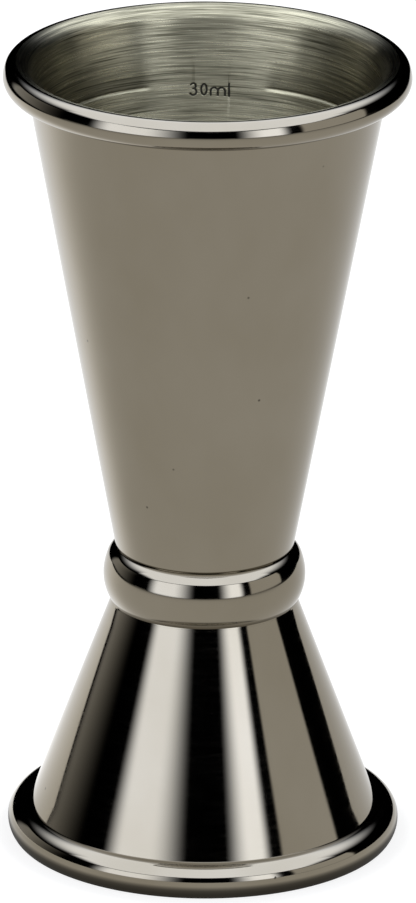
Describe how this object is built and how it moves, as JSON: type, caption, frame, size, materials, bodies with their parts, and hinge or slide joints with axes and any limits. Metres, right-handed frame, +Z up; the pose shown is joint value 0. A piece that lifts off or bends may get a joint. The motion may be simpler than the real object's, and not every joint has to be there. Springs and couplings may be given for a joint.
{
  "type": "bar jigger",
  "caption": "Double-ended spirit measure: a tall cone cup and a short cone cup joined floor to floor under a rounded neck collar, with rolled rims and an engraved fill line.",
  "frame": {"origin": "centre of the plane that the lower rim stands on", "axes": "+Z up along the common axis of the cups, +Y towards the engraved volume on the inside of the upper cup"},
  "size_m": [0.0456, 0.0456, 0.092],
  "materials": {
    "upper_cup": "gunmetal plating, mirror polished outside and brushed round inside",
    "lower_cup": "gunmetal plating, mirror polished outside and brushed round inside",
    "neck_collar": "gunmetal plating, mirror polished",
    "braze": "silver braze, as run",
    "weld": "bare weld metal"
  },
  "bodies": {
    "root": {"upper_cup": "upper_cup", "lower_cup": "lower_cup", "neck_collar": "neck_collar", "upper_collar_braze": "braze", "lower_collar_braze": "braze", "floor_weld_nuggets": "weld"}
  },
  "joints": []
}
